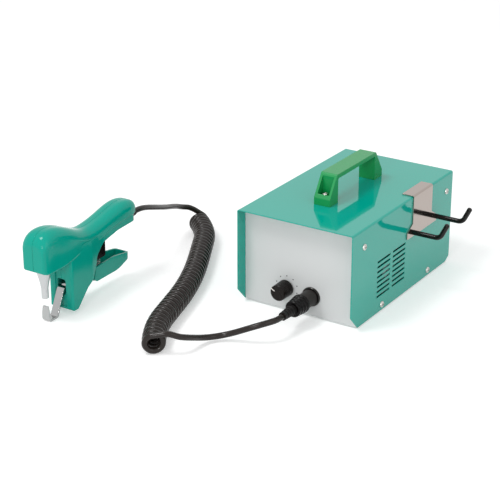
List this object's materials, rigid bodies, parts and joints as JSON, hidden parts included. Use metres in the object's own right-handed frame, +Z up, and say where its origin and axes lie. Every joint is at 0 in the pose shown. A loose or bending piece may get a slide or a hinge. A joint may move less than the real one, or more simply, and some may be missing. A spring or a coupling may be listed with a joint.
{
  "type": "ultrasonic point sealer",
  "caption": "Ultrasonic point sealer: sheet-metal generator with carry handle, timer dial and hooks, and a squeeze hand piece with horn and anvil on a coiled cord.",
  "frame": {"origin": "on the floor under the middle of the generator's footprint", "axes": "+Z up, the generator's panel faces -Y, its hooks are on the +X side"},
  "size_m": [0.3807, 0.425, 0.152],
  "materials": {
    "teal_paint": "gloss",
    "panel_grey": "satin",
    "green_plastic": "gloss",
    "rubber": "matte",
    "plated_steel": "satin",
    "mirror_steel": "polished",
    "black_coating": "satin",
    "black_plastic": "gloss",
    "dark_grey_plastic": "matte",
    "socket_metal": "satin",
    "cord_jacket": "satin",
    "core_iron": "matte",
    "copper_wire": "satin",
    "board_green": "matte",
    "aluminium": "satin",
    "ceramic": "matte",
    "teal_plastic": "gloss",
    "spring_steel": "satin"
  },
  "bodies": {
    "generator": {"chassis": "teal_paint", "cover": "teal_paint", "front_panel": "panel_grey", "rubber_feet": "rubber", "cover_screws": "plated_steel", "carry_handle": "green_plastic", "handle_screws": "plated_steel", "handle_nuts": "plated_steel", "hook_bracket": "mirror_steel", "hook_rod_front": "black_coating", "hook_rod_rear": "black_coating", "hook_nuts": "plated_steel", "timer_potentiometer": "dark_grey_plastic", "timer_nut": "plated_steel", "output_socket": "socket_metal", "socket_nut": "plated_steel", "plug_shell": "black_plastic", "plug_boot": "rubber", "cord_lead": "cord_jacket", "coil_cord": "cord_jacket", "cord_tail": "cord_jacket", "mains_inlet": "black_plastic", "inlet_screws": "plated_steel", "power_switch_frame": "black_plastic", "fuse_holder": "black_plastic", "transformer_core": "core_iron", "transformer_winding": "copper_wire", "driver_board": "board_green", "board_spacers": "aluminium", "heat_sink": "aluminium", "capacitors": "aluminium", "output_coil": "core_iron"},
    "timer_knob": {"timer_knob": "black_plastic", "timer_shaft": "plated_steel"},
    "power_rocker": {"power_rocker": "black_plastic"},
    "plug_sleeve": {"plug_sleeve": "dark_grey_plastic"},
    "hand_piece": {"shell_left": "teal_plastic", "shell_right": "teal_plastic", "shell_screws": "plated_steel", "horn": "aluminium", "transducer_front": "aluminium", "piezo_discs": "ceramic", "transducer_back": "aluminium", "transducer_bolt": "plated_steel", "anvil_pin": "mirror_steel", "trigger_pin": "mirror_steel", "trigger_switch": "black_plastic", "strain_relief": "rubber", "return_spring": "spring_steel"},
    "trigger": {"trigger": "teal_plastic"},
    "anvil": {"anvil_lever": "mirror_steel"},
    "plunger": {"switch_plunger": "black_plastic"}
  },
  "joints": [
    {"name": "timer_knob_turn", "type": "hinge", "parent": "generator", "child": "timer_knob", "pos_m": [-0.0178, -0.12, 0.029], "axis": [0, -1, 0], "range_deg": [-207, 81]},
    {"name": "power_rocker_tip", "type": "hinge", "parent": "generator", "child": "power_rocker", "pos_m": [0.018, 0.1185, 0.034], "axis": [1, 0, 0], "range_deg": [0, 18]},
    {"name": "plug_sleeve_turn", "type": "hinge", "parent": "generator", "child": "plug_sleeve", "pos_m": [0.015, -0.12, 0.0255], "axis": [0, -1, 0], "range_deg": [0, 60]},
    {"name": "handpiece_lift", "type": "slide", "parent": "generator", "child": "hand_piece", "axis": [0, 0, 1], "range_m": [0, 0.12], "deforming": ["cord_tail"]},
    {"name": "trigger_squeeze", "type": "hinge", "parent": "hand_piece", "child": "trigger", "pos_m": [-0.231, -0.218, 0.033], "axis": [1, 0, 0], "range_deg": [0, 14.4], "stiffness_Nm_per_rad": 0.6, "springref_deg": -11.46, "deforming": ["return_spring"]},
    {"name": "anvil_close", "type": "hinge", "parent": "hand_piece", "child": "anvil", "pos_m": [-0.231, -0.242, 0.031], "axis": [1, 0, 0], "range_deg": [-14.4, 0]},
    {"name": "plunger_press", "type": "slide", "parent": "hand_piece", "child": "plunger", "axis": [0, 0, 1], "range_m": [0, 0.0049]}
  ],
  "couplings": [
    {"joint": "anvil_close", "follows": "trigger_squeeze", "ratio": -1},
    {"joint": "plunger_press", "follows": "trigger_squeeze", "m_per_rad": 0.0193}
  ]
}
